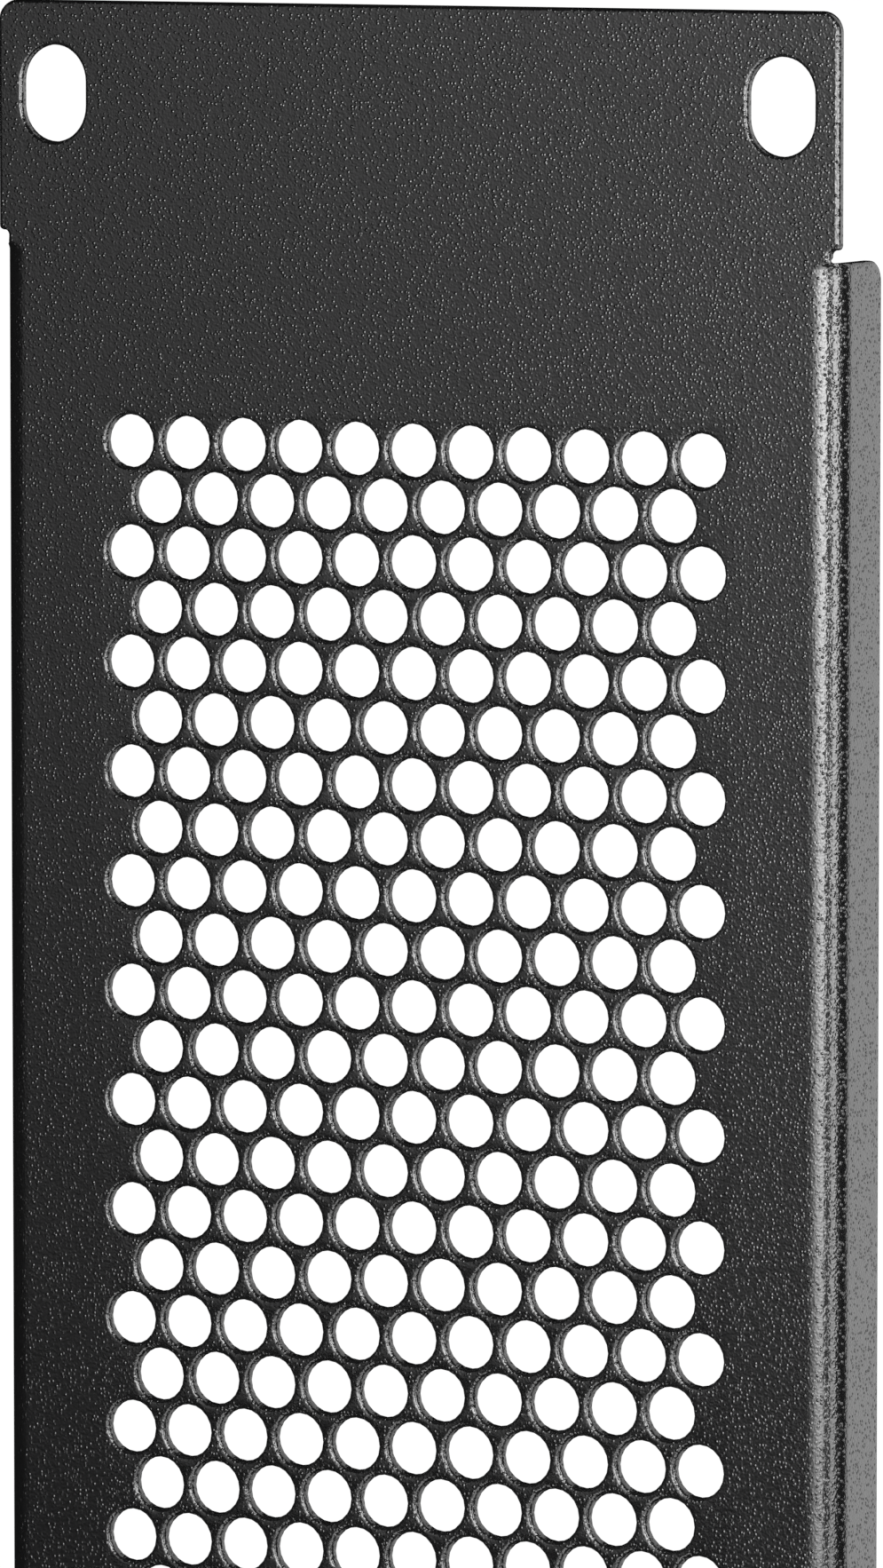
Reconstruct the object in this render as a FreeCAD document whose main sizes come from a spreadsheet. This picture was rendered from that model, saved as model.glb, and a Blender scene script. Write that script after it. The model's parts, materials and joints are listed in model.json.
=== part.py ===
import FreeCAD, Part

# Vented blanking panel, 2 units high, for a 19 inch rack.
#
# One sheet of steel, punched and folded:
#   - a flat web, punched with a staggered field of round vent holes
#   - a flange folded back along each long edge, with rounded free corners
#   - a flat ear at each end, with two elongated slots for the rack screws
#   - a small relief notch where each fold stops, beside the ear
#
# Frame: X runs along the panel, Z up its height, and the front faces -Y.
# The origin is the centre of the plane that the backs of the ears mount against,
# so the sheet lies from Y = -sheet_thickness to Y = 0 and the flanges reach to +Y.
# Millimetres throughout.

import math
import os

import Sketcher

NODE = "vented_panel"

# Driving dimensions: alias, value, meaning.
SIZES = [
    ("panel_length", 482.6, "end to end, the 19 inch panel width"),
    ("panel_height", 88.1, "2 rack units of 44.45, less 0.8 clearance"),
    ("sheet_thickness", 1.0, "steel with its powder coat"),
    ("bend_radius", 2.9, "outer radius of both long folds"),
    ("flange_depth", 9.2, "front face to the flange's free edge"),
    ("flange_corner_radius", 2.0, "free corners of the flanges"),
    ("ear_length", 21.7, "flat ear, panel end to relief notch"),
    ("ear_corner_radius", 2.0, "four outer corners of the panel"),
    ("relief_width", 1.2, "notch between ear and flange, along X"),
    ("relief_depth", 1.0, "notch, inwards from the long edge"),
    ("relief_radius", 0.5, "inner corners of the notch"),
    ("slot_spacing_along", 465.1, "slot centres along X, rack standard"),
    ("slot_spacing_across", 76.2, "slot centres along Z, rack standard"),
    ("slot_length", 9.1, "end to end, along X"),
    ("slot_width", 6.8, "across, along Z"),
    ("rolled_edge_radius", 0.4, "front edges of ears and slots, drawn over in punching"),
    ("vent_diameter", 5.0, "round vent hole"),
    ("vent_pitch", 6.0, "centre to nearest centre, all round"),
    ("vent_row_pairs", 39, "pairs of a long and a short row of holes"),
    ("vent_long_row", 11, "holes in a long row; a short row has one less"),
]

# Expressions on the sheet that several features share.
FLANGE_END = "(Sizes.panel_length / 2 - Sizes.ear_length - Sizes.relief_width)"
ROW_STEP = "(Sizes.vent_pitch * sin(60 deg))"

# The sketcher's own numbers for the points of a piece, for a sketch's two axes and its origin.
START, END, CENTRE = 1, 2, 3
LEVEL_AXIS, UPRIGHT_AXIS = -1, -2
ORIGIN = (LEVEL_AXIS, START)

# A linear pattern's own code for a gap that keeps the pattern's offset.
EVEN_GAP = -1.0

# Lengths closer than this are the same, and volumes within this share agree.
SAME_LENGTH = 1e-6
SAME_VOLUME = 0.001


def make_sheet(document):
    """Return the spreadsheet of driving dimensions, one named cell to a row."""
    sheet = document.addObject("Spreadsheet::Sheet", "Sizes")
    for row, (alias, value, meaning) in enumerate(SIZES, start=1):
        sheet.set(f"A{row}", alias)
        sheet.set(f"B{row}", str(value))
        sheet.set(f"C{row}", meaning)
        sheet.setAlias(f"B{row}", alias)
    document.recompute()
    return sheet


def origin_feature(body, role):
    """Return the body's own origin plane or axis with that role, such as YZ_Plane."""
    return next(item for item in body.Origin.OriginFeatures if item.Role == role)


def add_sketch(body, name, plane):
    """Return an empty sketch on one of the body's origin planes."""
    sketch = body.newObject("Sketcher::SketchObject", name)
    sketch.AttachmentSupport = [(origin_feature(body, plane), "")]
    sketch.MapMode = "FlatFace"
    return sketch


def constrain(sketch, *arguments):
    """Add one geometric constraint to the sketch."""
    sketch.addConstraint(Sketcher.Constraint(*arguments))


def dimension(sketch, expression, *arguments):
    """Add one dimension to the sketch, driven by an expression on the sheet."""
    value = float(sketch.evalExpression(expression))
    index = sketch.addConstraint(Sketcher.Constraint(*arguments, value))
    sketch.setExpression(f"Constraints[{index}]", expression)


class Outline:
    """A closed run of lines and arcs in a sketch, drawn piece by piece as with a pen.

    Each piece is kept as (index, first, last), where first and last are the sketcher's
    numbers for its end points, in the order in which the pen passes them.
    """

    def __init__(self, sketch, x, y):
        self.sketch = sketch
        self.pen = (x, y)
        self.pieces = []

    def line_to(self, x, y):
        """Draw a line from the pen to (x, y) and return its index."""
        line = Part.LineSegment(FreeCAD.Vector(*self.pen), FreeCAD.Vector(x, y))
        return self._keep((self.sketch.addGeometry(line), START, END), (x, y))

    def arc_to(self, x, y, centre, clockwise=False):
        """Draw an arc about the centre from the pen to (x, y) and return its index."""
        first = math.atan2(self.pen[1] - centre[1], self.pen[0] - centre[0])
        last = math.atan2(y - centre[1], x - centre[0])
        up = FreeCAD.Vector(0, 0, 1)
        circle = Part.Circle(FreeCAD.Vector(*centre), up, math.dist(self.pen, centre))
        if clockwise:
            arc, start, end = Part.ArcOfCircle(circle, last, first), END, START
        else:
            arc, start, end = Part.ArcOfCircle(circle, first, last), START, END
        return self._keep((self.sketch.addGeometry(arc), start, end), (x, y))

    def close(self):
        """Join every piece to the next, smoothly wherever one of the two is an arc."""
        for piece, follower in zip(self.pieces, self.pieces[1:] + self.pieces[:1]):
            pair = [self.sketch.Geometry[item[0]] for item in (piece, follower)]
            smooth = any(isinstance(item, Part.ArcOfCircle) for item in pair)
            join = "Tangent" if smooth else "Coincident"
            constrain(self.sketch, join, piece[0], piece[2], follower[0], follower[1])

    def _keep(self, piece, point):
        self.pieces.append(piece)
        self.pen = point
        return piece[0]


def draw_section(body, size):
    """Return the sketch of the folded section: a shallow channel, open to the back.

    The sketch's own x is the panel's Y, and its own y is the panel's Z.
    """
    sketch = add_sketch(body, "FoldedSection", "YZ_Plane")
    thickness = size["sheet_thickness"]
    front, back, edge = -thickness, 0.0, size["flange_depth"] - thickness
    outside = size["panel_height"] / 2
    inside = outside - thickness
    bend = size["bend_radius"] - thickness, outside - size["bend_radius"]
    lower_bend = bend[0], -bend[1]

    outline = Outline(sketch, front, bend[1])
    web_front = outline.line_to(front, -bend[1])
    lower_outer = outline.arc_to(bend[0], -outside, lower_bend)
    lower_face = outline.line_to(edge, -outside)
    lower_edge = outline.line_to(edge, -inside)
    lower_back = outline.line_to(bend[0], -inside)
    lower_inner = outline.arc_to(back, -bend[1], lower_bend, clockwise=True)
    web_back = outline.line_to(back, bend[1])
    upper_inner = outline.arc_to(bend[0], inside, bend, clockwise=True)
    upper_back = outline.line_to(edge, inside)
    upper_edge = outline.line_to(edge, outside)
    upper_face = outline.line_to(bend[0], outside)
    upper_outer = outline.arc_to(front, bend[1], bend)
    outline.close()

    for upright in (web_front, web_back, lower_edge, upper_edge):
        constrain(sketch, "Vertical", upright)
    for level in (lower_face, lower_back, upper_back, upper_face):
        constrain(sketch, "Horizontal", level)
    constrain(sketch, "Coincident", lower_inner, CENTRE, lower_outer, CENTRE)
    constrain(sketch, "Coincident", upper_inner, CENTRE, upper_outer, CENTRE)
    constrain(sketch, "Equal", lower_outer, upper_outer)
    constrain(sketch, "Symmetric", lower_face, END, upper_face, START, LEVEL_AXIS)
    constrain(sketch, "PointOnObject", web_back, START, UPRIGHT_AXIS)
    dimension(sketch, "Sizes.sheet_thickness", "DistanceX", web_front, START, *ORIGIN)
    dimension(sketch, "Sizes.flange_depth", "DistanceX", web_front, START, upper_face, START)
    dimension(sketch, "Sizes.panel_height", "DistanceY", lower_face, END, upper_face, START)
    dimension(sketch, "Sizes.bend_radius", "Radius", upper_outer)
    return sketch


def draw_ear(body, size):
    """Return the sketch of the right ear, from the flange's end out to the panel's end."""
    sketch = add_sketch(body, "EarOutline", "XZ_Plane")
    half = size["panel_height"] / 2
    radius = size["ear_corner_radius"]
    end = size["panel_length"] / 2
    start = end - size["ear_length"] - size["relief_width"]

    outline = Outline(sketch, start, -half)
    lower = outline.line_to(end - radius, -half)
    lower_corner = outline.arc_to(end, radius - half, (end - radius, radius - half))
    outer = outline.line_to(end, half - radius)
    upper_corner = outline.arc_to(end - radius, half, (end - radius, half - radius))
    upper = outline.line_to(start, half)
    inner = outline.line_to(start, -half)
    outline.close()

    for level in (lower, upper):
        constrain(sketch, "Horizontal", level)
    constrain(sketch, "Vertical", outer)
    constrain(sketch, "Equal", lower_corner, upper_corner)
    constrain(sketch, "Symmetric", inner, START, inner, END, LEVEL_AXIS)
    dimension(sketch, "Sizes.panel_height", "DistanceY", inner, END, inner, START)
    dimension(sketch, FLANGE_END, "DistanceX", *ORIGIN, inner, START)
    dimension(sketch, "Sizes.panel_length / 2", "DistanceX", *ORIGIN, outer, START)
    dimension(sketch, "Sizes.ear_corner_radius", "Radius", upper_corner)
    return sketch


def draw_relief(body, size):
    """Return the sketch of the upper right relief notch, open at the long edge."""
    sketch = add_sketch(body, "ReliefNotch", "XZ_Plane")
    radius = size["relief_radius"]
    top = size["panel_height"] / 2
    floor_level = top - size["relief_depth"]
    right = size["panel_length"] / 2 - size["ear_length"]
    left = right - size["relief_width"]
    bend_level = floor_level + radius

    outline = Outline(sketch, left, top)
    left_wall = outline.line_to(left, bend_level)
    left_bend = outline.arc_to(left + radius, floor_level, (left + radius, bend_level))
    floor = outline.line_to(right - radius, floor_level)
    right_bend = outline.arc_to(right, bend_level, (right - radius, bend_level))
    right_wall = outline.line_to(right, top)
    mouth = outline.line_to(left, top)
    outline.close()

    for upright in (left_wall, right_wall):
        constrain(sketch, "Vertical", upright)
    for level in (floor, mouth):
        constrain(sketch, "Horizontal", level)
    constrain(sketch, "Equal", left_bend, right_bend)
    dimension(sketch, "Sizes.relief_radius", "Radius", left_bend)
    dimension(sketch, "Sizes.relief_width", "DistanceX", mouth, END, mouth, START)
    dimension(sketch, "Sizes.relief_depth", "DistanceY", floor, START, mouth, START)
    dimension(sketch, FLANGE_END, "DistanceX", *ORIGIN, mouth, END)
    dimension(sketch, "Sizes.panel_height / 2", "DistanceY", *ORIGIN, mouth, END)
    return sketch


def draw_slot(body, size):
    """Return the sketch of the upper right screw slot, elongated along the panel."""
    sketch = add_sketch(body, "ScrewSlot", "XZ_Plane")
    radius = size["slot_width"] / 2
    reach = size["slot_length"] / 2 - radius
    level = size["slot_spacing_across"] / 2
    left = size["slot_spacing_along"] / 2 - reach
    right = size["slot_spacing_along"] / 2 + reach

    outline = Outline(sketch, left, level - radius)
    lower = outline.line_to(right, level - radius)
    right_end = outline.arc_to(right, level + radius, (right, level))
    outline.line_to(left, level + radius)
    left_end = outline.arc_to(left, level - radius, (left, level))
    outline.close()

    centre_gap = "(Sizes.slot_length - Sizes.slot_width)"
    constrain(sketch, "Horizontal", lower)
    constrain(sketch, "Equal", left_end, right_end)
    dimension(sketch, "Sizes.slot_width / 2", "Radius", right_end)
    dimension(sketch, centre_gap, "DistanceX", left_end, CENTRE, right_end, CENTRE)
    inner_centre = f"(Sizes.slot_spacing_along - {centre_gap}) / 2"
    dimension(sketch, inner_centre, "DistanceX", *ORIGIN, left_end, CENTRE)
    dimension(sketch, "Sizes.slot_spacing_across / 2", "DistanceY", *ORIGIN, left_end, CENTRE)
    return sketch


def draw_vent(body, name, column, level):
    """Return a sketch of one vent hole, at expressions' distances left of and below the origin."""
    sketch = add_sketch(body, name, "XZ_Plane")
    place = FreeCAD.Vector(-sketch.evalExpression(column), -sketch.evalExpression(level))
    radius = sketch.evalExpression("Sizes.vent_diameter / 2")
    hole = sketch.addGeometry(Part.Circle(place, FreeCAD.Vector(0, 0, 1), radius))
    dimension(sketch, column, "DistanceX", hole, CENTRE, *ORIGIN)
    dimension(sketch, level, "DistanceY", hole, CENTRE, *ORIGIN)
    dimension(sketch, "Sizes.vent_diameter", "Diameter", hole)
    return sketch


def add_pad(body, name, sketch, length, side="One side"):
    """Return a pad of the sketch, with its length bound to the sheet."""
    pad = body.newObject("PartDesign::Pad", name)
    pad.Profile = sketch
    pad.SideType = side
    pad.setExpression("Length", length)
    return pad


def add_punch(body, name, sketch):
    """Return a pocket right through the sheet, from its back at Y = 0 to its front."""
    pocket = body.newObject("PartDesign::Pocket", name)
    pocket.Profile = sketch
    pocket.Type = "ThroughAll"
    pocket.Reversed = True
    return pocket


def add_fillet(body, name, base, edges, radius):
    """Return a fillet of named edges of an earlier feature, with its radius bound to the sheet."""
    fillet = body.newObject("PartDesign::Fillet", name)
    fillet.Base = (base, edges)
    fillet.setExpression("Radius", radius)
    return fillet


def add_mirror(body, name, plane):
    """Return a mirror about one of the body's origin planes, with nothing mirrored yet."""
    mirror = body.newObject("PartDesign::Mirrored", name)
    mirror.MirrorPlane = (origin_feature(body, plane), [""])
    return mirror


def mirror_ends(body, name, feature):
    """Repeat a feature of the right end at the left end."""
    ends = add_mirror(body, name, "YZ_Plane")
    ends.Originals = [feature]
    body.Tip = ends


def mirror_corners(body, name, features):
    """Return the repeat of features of the upper right corner at all four corners."""
    corners = body.newObject("PartDesign::MultiTransform", name)
    corners.Originals = features
    top_to_bottom = add_mirror(body, "TopToBottom", "XY_Plane")
    corners.Transformations = [top_to_bottom, add_mirror(body, "EndToEnd", "YZ_Plane")]
    body.Tip = corners
    return corners


def repeat_vent(body, name, punch, row_length):
    """Repeat a punched hole along every second row, with row_length holes in each row."""
    field = body.newObject("PartDesign::LinearPattern", name)
    field.Originals = [punch]
    field.Direction = (origin_feature(body, "X_Axis"), [""])
    field.Mode = "Spacing"
    field.setExpression("Offset", f"2 * {ROW_STEP}")
    field.setExpression("Occurrences", "Sizes.vent_row_pairs")
    field.Direction2 = (origin_feature(body, "Z_Axis"), [""])
    field.Mode2 = "Spacing"
    field.Spacings2 = [EVEN_GAP]
    field.setExpression("Offset2", "Sizes.vent_pitch")
    field.setExpression("Occurrences2", row_length)
    body.Tip = field


def round_flanges(body, base, size):
    """Return the fillet of the flanges' free corners: the short edges along Z, furthest back."""
    back = size["flange_depth"] - size["sheet_thickness"]
    corners = [
        f"Edge{index}"
        for index, edge in enumerate(base.Shape.Edges, start=1)
        if all(abs(vertex.Y - back) < SAME_LENGTH for vertex in edge.Vertexes)
        and abs(edge.Length - size["sheet_thickness"]) < SAME_LENGTH
    ]
    return add_fillet(body, "FlangeCorners", base, corners, "Sizes.flange_corner_radius")


def roll_ear_edges(body, base, size):
    """Return the fillet of the front edges of the ears and their slots, from each notch outwards."""
    ear_foot = size["panel_length"] / 2 - size["ear_length"]
    edges = []
    for index, edge in enumerate(base.Shape.Edges, start=1):
        box = edge.BoundBox
        in_front = box.YMax < SAME_LENGTH - size["sheet_thickness"]
        beyond_foot = min(abs(box.XMin), abs(box.XMax)) > ear_foot - SAME_LENGTH
        at_foot = max(abs(box.XMin), abs(box.XMax)) < ear_foot + SAME_LENGTH
        if in_front and beyond_foot and not at_foot:
            edges.append(f"Edge{index}")
    return add_fillet(body, "RolledEdges", base, edges, "Sizes.rolled_edge_radius")


def build_panel(document, size):
    """Return the body of the panel: fold, ears, corner cuts, then the two vent patterns."""
    body = document.addObject("PartDesign::Body", "VentedPanel")
    body.Label = NODE

    section = draw_section(body, size)
    channel = add_pad(body, "FoldedSheet", section, f"2 * {FLANGE_END}", "Symmetric")
    document.recompute()
    round_flanges(body, channel, size)

    ear = add_pad(body, "Ear", draw_ear(body, size), "Sizes.sheet_thickness")
    mirror_ends(body, "BothEars", ear)

    relief = add_punch(body, "Relief", draw_relief(body, size))
    slot = add_punch(body, "Slot", draw_slot(body, size))
    corners = mirror_corners(body, "FourCorners", [relief, slot])
    document.recompute()
    roll_ear_edges(body, corners, size)

    fields = (
        ("LongRows", "Sizes.vent_row_pairs - 0.5", "Sizes.vent_long_row - 1"),
        ("ShortRows", "Sizes.vent_row_pairs - 1.5", "Sizes.vent_long_row - 2"),
    )
    for name, rows_left, gaps in fields:
        column = f"({ROW_STEP} * ({rows_left}))"
        level = f"(Sizes.vent_pitch * ({gaps}) / 2)"
        hole = add_punch(body, f"{name}Punch", draw_vent(body, f"{name}Hole", column, level))
        repeat_vent(body, name, hole, f"{gaps} + 1")
    return body


def check(document, body, size):
    """Raise an error unless every object recomputed and the holes took out their full volume."""
    for item in document.Objects:
        if "Invalid" in item.State or "Error" in item.State:
            raise RuntimeError(f"{item.Label} failed: {item.State}")
    shape = body.Shape
    if shape.isNull() or not shape.isValid() or len(shape.Solids) != 1:
        raise RuntimeError(f"{body.Label} is not one valid solid")
    holes = size["vent_row_pairs"] * (2 * size["vent_long_row"] - 1)
    hole_area = math.pi * size["vent_diameter"] ** 2 / 4
    punched = document.getObject("RolledEdges").Shape.Volume - shape.Volume
    expected = holes * hole_area * size["sheet_thickness"]
    if abs(punched - expected) > SAME_VOLUME * expected:
        raise RuntimeError(f"vents took out {punched:.0f} mm3 in place of {expected:.0f}")
    print(f"{body.Label}: {shape.Volume:.0f} mm3, {holes:.0f} vents, {len(shape.Faces)} faces")


def main():
    """Build the panel, check it and write its STEP file."""
    document = FreeCAD.newDocument("VentedPanel")
    make_sheet(document)
    size = {alias: value for alias, value, _ in SIZES}
    body = build_panel(document, size)
    document.recompute()
    check(document, body, size)
    os.makedirs("parts", exist_ok=True)
    body.Shape.exportStep(f"parts/{NODE}.step")


main()
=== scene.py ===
"""A vented rack blanking panel: one punched steel sheet, folded into a channel and powder coated.

The sheet is made as the press shop makes it. A flat blank gets its outline, relief notches and screw
slots, and every cut edge gets the small roll that punching and powder coat leave. Then the two long
flanges are folded back, and a Geometry Nodes tree punches the field of round vents into the web. The
finish is one satin powder coat with a fine grain. Sizes are in metres: X runs along the panel, Y from
its front to its rear, and Z up.
"""

import json
import logging
import math
from dataclasses import dataclass
from enum import Enum

import bmesh
import bpy
from mathutils import Matrix, Vector
from mathutils.geometry import tessellate_polygon


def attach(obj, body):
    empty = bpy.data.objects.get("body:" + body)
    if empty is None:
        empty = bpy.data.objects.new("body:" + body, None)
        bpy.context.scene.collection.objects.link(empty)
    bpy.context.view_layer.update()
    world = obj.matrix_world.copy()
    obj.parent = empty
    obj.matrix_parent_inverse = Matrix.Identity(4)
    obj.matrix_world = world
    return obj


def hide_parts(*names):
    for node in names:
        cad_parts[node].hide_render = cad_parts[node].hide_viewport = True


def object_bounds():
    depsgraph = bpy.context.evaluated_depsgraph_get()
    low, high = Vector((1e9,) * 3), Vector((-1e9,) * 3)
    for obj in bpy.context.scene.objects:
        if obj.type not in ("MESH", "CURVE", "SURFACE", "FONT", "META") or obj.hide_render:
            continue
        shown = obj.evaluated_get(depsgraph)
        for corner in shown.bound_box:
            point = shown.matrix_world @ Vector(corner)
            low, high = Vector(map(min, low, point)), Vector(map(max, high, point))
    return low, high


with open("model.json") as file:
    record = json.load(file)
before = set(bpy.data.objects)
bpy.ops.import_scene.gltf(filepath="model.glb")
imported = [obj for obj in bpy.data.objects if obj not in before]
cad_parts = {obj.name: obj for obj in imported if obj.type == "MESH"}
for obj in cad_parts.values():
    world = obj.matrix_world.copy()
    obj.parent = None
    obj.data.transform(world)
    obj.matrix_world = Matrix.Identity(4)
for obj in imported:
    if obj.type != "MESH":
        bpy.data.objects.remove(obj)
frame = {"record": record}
CAD_LOW, CAD_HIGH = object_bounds()

PANEL_NODE = "vented_panel"
PANEL_BODY = "root"
SCREW_MOUNT = "rack_screws"

MM = 0.001
QUARTER_TURN = math.pi / 2
# The vents' centres stand at the corners of equal triangles, which have this angle.
TRIANGLE_CORNER = math.radians(60)
# Points that are closer than this are one point.
WELD = 1e-6
# Faces that meet at a greater angle keep a sharp edge.
CREASE = math.radians(50)
# Where a Mix node keeps the factor, the two colours and the result of a mix of colours.
MIX_FACTOR, MIX_FIRST, MIX_SECOND, MIX_RESULT = 0, 6, 7, 2

Socket = bpy.types.NodeSocket
log = logging.getLogger("panel")


def spoke(turn: float) -> Vector:
    """Returns the unit vector at an angle, in radians, from the first axis of a plane."""
    return Vector((math.cos(turn), math.sin(turn)))


class Edge(Enum):
    """The two corners of a cut edge, each with the size of the roll or break that it gets."""

    FRONT_ROLL = 0.40 * MM
    REAR_BREAK = 0.08 * MM


class RowKind(Enum):
    """The two kinds of vent row, each with how many vents it has less than a long row."""

    LONG = 0
    SHORT = 1


class Turn(Enum):
    """Which way the outline turns at a corner, going round the sheet anticlockwise."""

    OUTER = 1
    HOLLOW = -1


class Facing(Enum):
    """Where an edge of the outline's quarter faces, in quarter turns from the panel's end."""

    END = 0
    LONG_SIDE = 1
    MIDDLE = 2


@dataclass(frozen=True)
class Corner:
    """A rounded corner of the flat outline.

    Attributes:
        x: Distance from the middle of the panel's length.
        height: Distance from the middle of the panel's height, measured along the unfolded sheet.
        radius: Radius the corner is rounded to.
        facing: Where the edge that comes before the corner faces.
        turn: Whether the corner stands out or is hollow, as at the bottom of a notch.
    """

    x: float
    height: float
    radius: float
    facing: Facing
    turn: Turn

    def arc(self, inset: float, steps: int) -> list[Vector]:
        """Draws the corner, moved into the sheet.

        Args:
            inset: How far the line stands back from the cut.
            steps: Straight pieces that make the arc.

        Returns:
            The arc's points as (x, height).
        """
        side = self.turn.value
        start, sweep = self.facing.value * QUARTER_TURN, side * QUARTER_TURN
        outwards = spoke(start) + spoke(start + sweep)
        centre = Vector((self.x, self.height)) - side * self.radius * outwards
        reach = side * self.radius - inset
        return [centre + reach * spoke(start + sweep * step / steps) for step in range(steps + 1)]


@dataclass(frozen=True)
class RollProfile:
    """The section of a cut edge: a rolled front corner, a straight wall and a broken rear corner.

    Attributes:
        front: Radius of the roll at the front face.
        rear: Size of the break at the rear face.
        steps: Faces across the front roll.
    """

    front: float
    rear: float
    steps: int = 3

    def rings(self, thickness: float) -> list[tuple[float, float]]:
        """Works out the rings of points that make the edge.

        Args:
            thickness: Thickness of the sheet.

        Returns:
            Pairs of how far a ring stands back from the cut, and how deep it lies below the front face.
        """
        turns = [QUARTER_TURN * step / self.steps for step in range(self.steps + 1)]
        rolled = [
            (self.front * (1 - math.sin(turn)), self.front * (1 - math.cos(turn)))
            for turn in turns
        ]
        return rolled + [(0.0, thickness - self.rear), (self.rear, thickness)]


class NodeBoard:
    """A node tree being wired up, with short calls for the steps that repeat."""

    def __init__(self, tree: bpy.types.NodeTree, prefix: str) -> None:
        """Starts on a tree.

        Args:
            tree: The tree to fill.
            prefix: What the types of its nodes start with.
        """
        self.tree = tree
        self.prefix = prefix

    def feed(self, socket: Socket, value: object) -> None:
        """Gives an input its value, or links it to another node's output.

        Args:
            socket: The input.
            value: A plain value, or the socket to link.
        """
        if isinstance(value, bpy.types.NodeSocket):
            self.tree.links.new(value, socket)
        else:
            socket.default_value = value

    def node(
        self, kind: str, inputs: dict[str, object] | None = None, **options: object
    ) -> bpy.types.Node:
        """Adds a node.

        Args:
            kind: The node's type, without the prefix that the tree's nodes share.
            inputs: Its inputs by name.
            **options: Its options by name.

        Returns:
            The node.
        """
        node = self.in_order(self.prefix + kind, **options)
        for name, value in (inputs or {}).items():
            self.feed(node.inputs[name], value)
        return node

    def result(
        self, kind: str, inputs: dict[str, object] | None = None, **options: object
    ) -> Socket:
        """Adds a node, as node() does, and returns its first output."""
        return self.node(kind, inputs, **options).outputs[0]

    def in_order(self, kind: str, *values: object, **options: object) -> bpy.types.Node:
        """Adds a node and fills its inputs in their order.

        Args:
            kind: The node's whole type.
            *values: Plain values, or sockets to link.
            **options: The node's options by name.

        Returns:
            The node.
        """
        node = self.tree.nodes.new(kind)
        for name, value in options.items():
            setattr(node, name, value)
        for socket, value in zip(node.inputs, values):
            self.feed(socket, value)
        return node

    def math(self, operation: str, *values: object) -> Socket:
        """Adds a Math node.

        Args:
            operation: What it works out.
            *values: Its one or two inputs.

        Returns:
            The result.
        """
        return self.in_order("ShaderNodeMath", *values, operation=operation).outputs[0]

    def ramp(
        self, value: Socket, low: float, high: float, start: float = 0.0, end: float = 1.0
    ) -> Socket:
        """Maps a value from one range to another, and holds it there.

        Args:
            value: The value.
            low: Where the ramp starts.
            high: Where the ramp ends.
            start: The result at the start.
            end: The result at the end.

        Returns:
            The result.
        """
        return self.in_order("ShaderNodeMapRange", value, low, high, start, end).outputs[0]

    def vector(self, x: object = 0.0, y: object = 0.0, z: object = 0.0) -> Socket:
        """Puts three numbers together as a vector."""
        return self.in_order("ShaderNodeCombineXYZ", x, y, z).outputs[0]

    def split(self, vector: Socket) -> tuple[Socket, ...]:
        """Takes a vector apart into its three numbers."""
        return tuple(self.in_order("ShaderNodeSeparateXYZ", vector).outputs)


class GroupBoard(NodeBoard):
    """The tree of a node group, with named inputs and outputs."""

    def __init__(self, tree: bpy.types.NodeTree, prefix: str) -> None:
        """Starts on an empty group.

        Args:
            tree: The group's tree.
            prefix: What the types of its nodes start with.
        """
        super().__init__(tree, prefix)
        self.entry = tree.nodes.new("NodeGroupInput")
        self.exit = tree.nodes.new("NodeGroupOutput")

    def input(self, name: str, kind: str) -> Socket:
        """Adds a named input to the group.

        Args:
            name: The input's name.
            kind: What it holds, such as Float.

        Returns:
            The socket to read it from.
        """
        self.tree.interface.new_socket(name=name, in_out="INPUT", socket_type=f"NodeSocket{kind}")
        return self.entry.outputs[name]

    def output(self, name: str, kind: str, value: Socket) -> None:
        """Adds a named output to the group.

        Args:
            name: The output's name.
            kind: What it holds, such as Float.
            value: The socket that it gives out.
        """
        self.tree.interface.new_socket(name=name, in_out="OUTPUT", socket_type=f"NodeSocket{kind}")
        self.feed(self.exit.inputs[name], value)

    def join(self, *parts: Socket) -> Socket:
        """Joins pieces of geometry.

        Args:
            *parts: The pieces.

        Returns:
            The whole.
        """
        node = self.tree.nodes.new("GeometryNodeJoinGeometry")
        for part in parts:
            self.tree.links.new(part, node.inputs[0])
        return node.outputs[0]


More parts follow.
